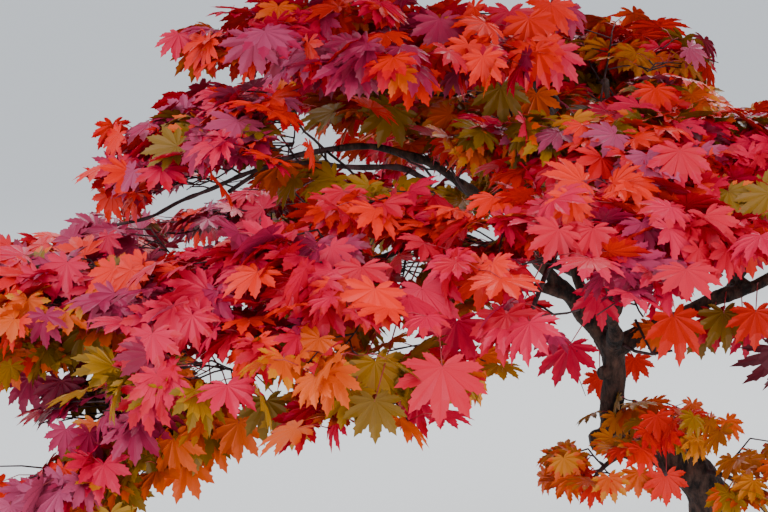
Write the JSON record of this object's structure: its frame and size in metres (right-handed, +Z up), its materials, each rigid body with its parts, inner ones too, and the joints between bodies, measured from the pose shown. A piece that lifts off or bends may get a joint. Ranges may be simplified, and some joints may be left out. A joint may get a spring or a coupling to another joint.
{
  "type": "japanese maple tree",
  "caption": "Small garden maple in autumn colour: a dog-legged trunk forks low into wide boughs that carry layered pads of lobed leaves.",
  "frame": {"origin": "the middle of the flat cut under the trunk, at ground level", "axes": "+Z up along the trunk's foot; the pictured side faces -Y; the trunk leans towards -X and the crown is widest along X"},
  "size_m": [1.9505, 1.543, 1.5556],
  "materials": {
    "bark": "rough dark bark",
    "leaf_crimson": "soft satin leaf",
    "leaf_mauve": "soft satin leaf",
    "leaf_scarlet": "soft satin leaf",
    "leaf_orange": "soft satin leaf"
  },
  "bodies": {
    "root": {"bough_back": "bark", "bough_back_left": "bark", "bough_back_right": "bark", "bough_crown_back": "bark", "bough_crown_front": "bark", "bough_crown_left": "bark", "bough_crown_right": "bark", "bough_crown_top": "bark", "bough_front": "bark", "bough_front_left": "bark", "bough_front_right": "bark", "bough_left": "bark", "bough_left_back": "bark", "bough_left_high": "bark", "bough_left_low": "bark", "bough_right": "bark", "bough_right_back": "bark", "bough_shoulder_back": "bark", "bough_shoulder_front": "bark", "bough_shoulder_left": "bark", "bough_shoulder_right": "bark", "foliage_back": "leaf_crimson", "foliage_back_left": "leaf_crimson", "foliage_back_right": "leaf_crimson", "foliage_crown_back": "leaf_scarlet", "foliage_crown_front": "leaf_scarlet", "foliage_crown_left": "leaf_scarlet", "foliage_crown_right": "leaf_scarlet", "foliage_crown_top": "leaf_scarlet", "foliage_front": "leaf_crimson", "foliage_front_left": "leaf_crimson", "foliage_front_right": "leaf_crimson", "foliage_left": "leaf_mauve", "foliage_left_back": "leaf_mauve", "foliage_left_high": "leaf_mauve", "foliage_left_low": "leaf_mauve", "foliage_right": "leaf_crimson", "foliage_right_back": "leaf_crimson", "foliage_shoot_bend": "leaf_orange", "foliage_shoot_left": "leaf_orange", "foliage_shoot_right": "leaf_orange", "foliage_shoulder_back": "leaf_scarlet", "foliage_shoulder_front": "leaf_scarlet", "foliage_shoulder_left": "leaf_scarlet", "foliage_shoulder_right": "leaf_scarlet", "trunk": "bark"}
  },
  "joints": []
}
